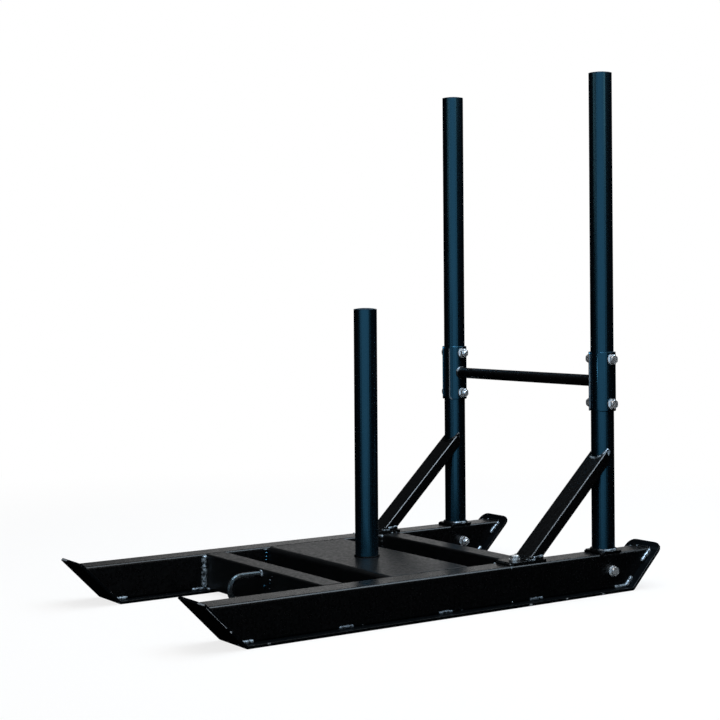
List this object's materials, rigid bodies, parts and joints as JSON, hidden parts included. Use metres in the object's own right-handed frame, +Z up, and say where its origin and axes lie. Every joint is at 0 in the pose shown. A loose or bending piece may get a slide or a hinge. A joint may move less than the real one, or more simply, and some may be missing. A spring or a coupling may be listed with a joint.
{
  "type": "weight sled",
  "caption": "Black steel weight sled: upturned skids under box rails, a load deck with a plate post, a tow loop, and braced uprights with a clamped push bar.",
  "frame": {"origin": "on the ground under the middle of the sled's overall box", "axes": "+Z up, -Y towards the towed front with the loop, +X to the left of the person pushing"},
  "size_m": [0.62, 1.1426, 1.12],
  "materials": {
    "black_powder_coat": "satin black powder coat, finely textured",
    "black_plastic": "matt black moulded plugs",
    "zinc_plated_steel": "bright zinc plate"
  },
  "bodies": {
    "root": {"brace_foot_left": "black_powder_coat", "brace_foot_right": "black_powder_coat", "brace_left": "black_powder_coat", "brace_pad_left": "black_powder_coat", "brace_pad_right": "black_powder_coat", "brace_right": "black_powder_coat", "clamp_inner_left": "black_powder_coat", "clamp_inner_right": "black_powder_coat", "clamp_lower_bolt_left": "zinc_plated_steel", "clamp_lower_bolt_right": "zinc_plated_steel", "clamp_lower_nut_left": "zinc_plated_steel", "clamp_lower_nut_right": "zinc_plated_steel", "clamp_lower_washer_inner_left": "zinc_plated_steel", "clamp_lower_washer_inner_right": "zinc_plated_steel", "clamp_lower_washer_outer_left": "zinc_plated_steel", "clamp_lower_washer_outer_right": "zinc_plated_steel", "clamp_outer_left": "black_powder_coat", "clamp_outer_right": "black_powder_coat", "clamp_upper_bolt_left": "zinc_plated_steel", "clamp_upper_bolt_right": "zinc_plated_steel", "clamp_upper_nut_left": "zinc_plated_steel", "clamp_upper_nut_right": "zinc_plated_steel", "clamp_upper_washer_inner_left": "zinc_plated_steel", "clamp_upper_washer_inner_right": "zinc_plated_steel", "clamp_upper_washer_outer_left": "zinc_plated_steel", "clamp_upper_washer_outer_right": "zinc_plated_steel", "foot_bolt_left": "zinc_plated_steel", "foot_bolt_right": "zinc_plated_steel", "foot_nut_left": "zinc_plated_steel", "foot_nut_right": "zinc_plated_steel", "foot_washer_left": "zinc_plated_steel", "foot_washer_right": "zinc_plated_steel", "front_crossbar": "black_powder_coat", "load_deck": "black_powder_coat", "push_bar": "black_powder_coat", "rail_bolt_left": "zinc_plated_steel", "rail_bolt_right": "zinc_plated_steel", "rail_left": "black_powder_coat", "rail_nut_left": "zinc_plated_steel", "rail_nut_right": "zinc_plated_steel", "rail_right": "black_powder_coat", "rail_washer_inner_left": "zinc_plated_steel", "rail_washer_inner_right": "zinc_plated_steel", "rail_washer_outer_left": "zinc_plated_steel", "rail_washer_outer_right": "zinc_plated_steel", "rear_crossbar": "black_powder_coat", "skid_left": "black_powder_coat", "skid_right": "black_powder_coat", "tow_loop": "black_powder_coat", "upright_base_plate_left": "black_powder_coat", "upright_base_plate_right": "black_powder_coat", "upright_cap_left": "black_plastic", "upright_cap_right": "black_plastic", "upright_left": "black_powder_coat", "upright_right": "black_powder_coat", "weight_post": "black_powder_coat", "weight_post_cap": "black_plastic"}
  },
  "joints": []
}
